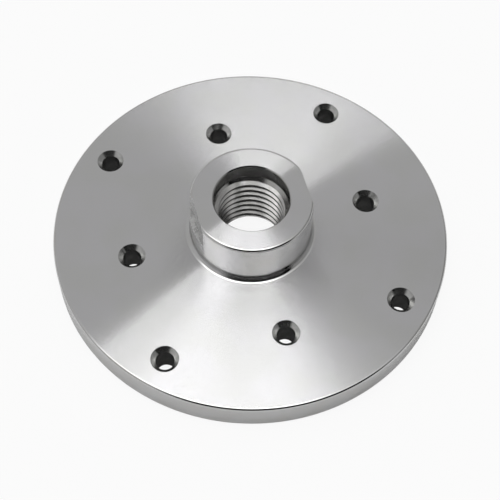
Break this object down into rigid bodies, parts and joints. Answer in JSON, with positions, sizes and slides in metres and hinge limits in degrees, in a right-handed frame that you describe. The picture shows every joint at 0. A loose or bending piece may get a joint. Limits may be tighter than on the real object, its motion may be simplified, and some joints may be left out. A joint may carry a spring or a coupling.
{
  "type": "lathe faceplate",
  "caption": "Round steel faceplate for a wood lathe, with a threaded hub, wrench flats and two rings of countersunk screw holes",
  "frame": {"origin": "centre of the flat work side, the face that the wood is screwed to, which the plate also rests on", "axes": "+Z along the spindle axis, from the work side towards the hub; +X square to the wrench flats, through two of the inner screw holes; +Y completes the right-handed frame"},
  "size_m": [0.16, 0.16, 0.035],
  "materials": {
    "turned_steel": "bare turned steel with fine concentric tool marks, bright and slightly oiled"
  },
  "bodies": {
    "root": {"faceplate": "turned_steel"}
  },
  "joints": []
}
